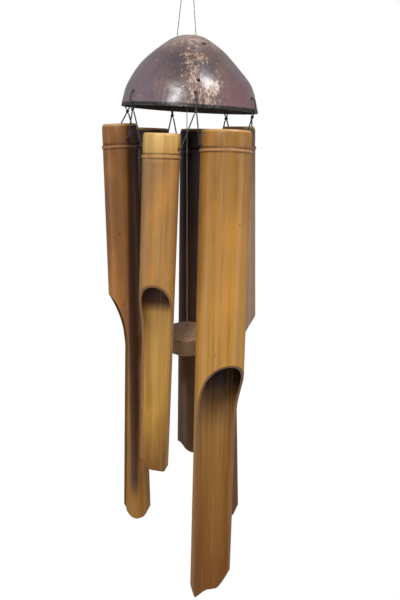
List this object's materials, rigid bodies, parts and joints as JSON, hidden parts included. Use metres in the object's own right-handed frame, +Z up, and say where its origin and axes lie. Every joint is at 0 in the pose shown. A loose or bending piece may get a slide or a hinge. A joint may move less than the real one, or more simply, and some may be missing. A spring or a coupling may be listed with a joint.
{
  "type": "wind chime",
  "caption": "Bamboo tube wind chime hung from a coconut half shell, with scooped tube ends and a round wooden striker on a central cord.",
  "frame": {"origin": "centre of the hanging ring, where a hook or nail takes the chime's weight", "axes": "+Z up, -Y the front, which shows the two golden tubes with their openings; +X to the right seen from the front"},
  "size_m": [0.137, 0.1417, 0.6107],
  "materials": {
    "ring_wire": "satin galvanised wire",
    "pale_line": "smooth translucent nylon line",
    "dark_cord": "twisted waxed black cord",
    "coconut": "lacquered dark coconut shell with pale flecks",
    "bamboo_golden": "satin varnished golden bamboo",
    "bamboo_brown": "satin varnished brown bamboo",
    "bamboo_dark": "satin varnished dark bamboo",
    "striker_wood": "stained dark wood"
  },
  "bodies": {
    "ring": {"hanging_ring": "ring_wire"},
    "loop": {"hanging_loop": "pale_line"},
    "knot": {"top_knot": "pale_line"},
    "shell": {"coconut_shell": "coconut", "hanging_line": "pale_line", "rim_loop_front": "dark_cord", "rim_loop_front_right": "dark_cord", "rim_loop_rear_right": "dark_cord", "rim_loop_rear": "dark_cord", "rim_loop_rear_left": "dark_cord", "rim_loop_front_left": "dark_cord", "rim_knot_front": "dark_cord", "rim_knot_front_right": "dark_cord", "rim_knot_rear_right": "dark_cord", "rim_knot_rear": "dark_cord", "rim_knot_rear_left": "dark_cord", "rim_knot_front_left": "dark_cord"},
    "tube_front_right": {"tube_front_right": "bamboo_golden", "tube_cord_front_right": "dark_cord"},
    "tube_right": {"tube_right": "bamboo_dark", "tube_cord_right": "dark_cord"},
    "tube_rear": {"tube_rear": "bamboo_dark", "tube_cord_rear": "dark_cord"},
    "tube_rear_left": {"tube_rear_left": "bamboo_dark", "tube_cord_rear_left": "dark_cord"},
    "tube_left": {"tube_left": "bamboo_brown", "tube_cord_left": "dark_cord"},
    "tube_front_left": {"tube_front_left": "bamboo_golden", "tube_cord_front_left": "dark_cord"},
    "striker_hitch": {"striker_hitch": "pale_line"},
    "striker_line": {"striker_cord": "pale_line", "striker_knot": "pale_line"},
    "striker_disc": {"striker_disc": "striker_wood"}
  },
  "joints": [
    {"name": "swing_sideways", "type": "hinge", "parent": "ring", "child": "loop", "pos_m": [0, 0, 0], "axis": [0, 1, 0], "range_deg": [-25, 25]},
    {"name": "swing_fore_aft", "type": "hinge", "parent": "loop", "child": "knot", "pos_m": [0, 0, -0.016], "axis": [1, 0, 0], "range_deg": [-25, 25]},
    {"name": "turn", "type": "hinge", "parent": "knot", "child": "shell", "pos_m": [0, 0, -0.016], "axis": [0, 0, 1], "range_deg": [-90, 90]},
    {"name": "swing_front_right", "type": "hinge", "parent": "shell", "child": "tube_front_right", "pos_m": [0.03067, -0.03914, -0.18057], "axis": [-0.7892, -0.6122, 0.0481], "range_deg": [-2.3, 30]},
    {"name": "swing_right", "type": "hinge", "parent": "shell", "child": "tube_right", "pos_m": [0.04401, 0.01426, -0.18138], "axis": [0.3102, -0.9505, -0.0189], "range_deg": [-4.8, 30]},
    {"name": "swing_rear", "type": "hinge", "parent": "shell", "child": "tube_rear", "pos_m": [0.00886, 0.05243, -0.17924], "axis": [-0.9857, 0.1571, 0.0604], "range_deg": [-30, 4.5]},
    {"name": "swing_rear_left", "type": "hinge", "parent": "shell", "child": "tube_rear_left", "pos_m": [-0.03464, 0.03799, -0.17655], "axis": [-0.7305, -0.6814, 0.0455], "range_deg": [-30, 4]},
    {"name": "swing_left", "type": "hinge", "parent": "shell", "child": "tube_left", "pos_m": [-0.0516, -0.00544, -0.1755], "axis": [0.1032, -0.9946, -0.0065], "range_deg": [-30, 3.8]},
    {"name": "swing_front_left", "type": "hinge", "parent": "shell", "child": "tube_front_left", "pos_m": [-0.02144, -0.0444, -0.17737], "axis": [-0.8929, 0.4468, 0.0553], "range_deg": [-3, 30]},
    {"name": "striker_sideways", "type": "hinge", "parent": "shell", "child": "striker_hitch", "pos_m": [-0.0018, -0.006, -0.158], "axis": [0, -1, 0], "range_deg": [-4, 2.3]},
    {"name": "striker_fore_aft", "type": "hinge", "parent": "striker_hitch", "child": "striker_line", "pos_m": [-0.0018, -0.006, -0.1607], "axis": [-1, 0, 0], "range_deg": [-5, 2.3]},
    {"name": "striker_spin", "type": "hinge", "parent": "striker_line", "child": "striker_disc", "pos_m": [-0.0018, -0.006, -0.3755], "axis": [0, 0, 1], "continuous": true}
  ]
}
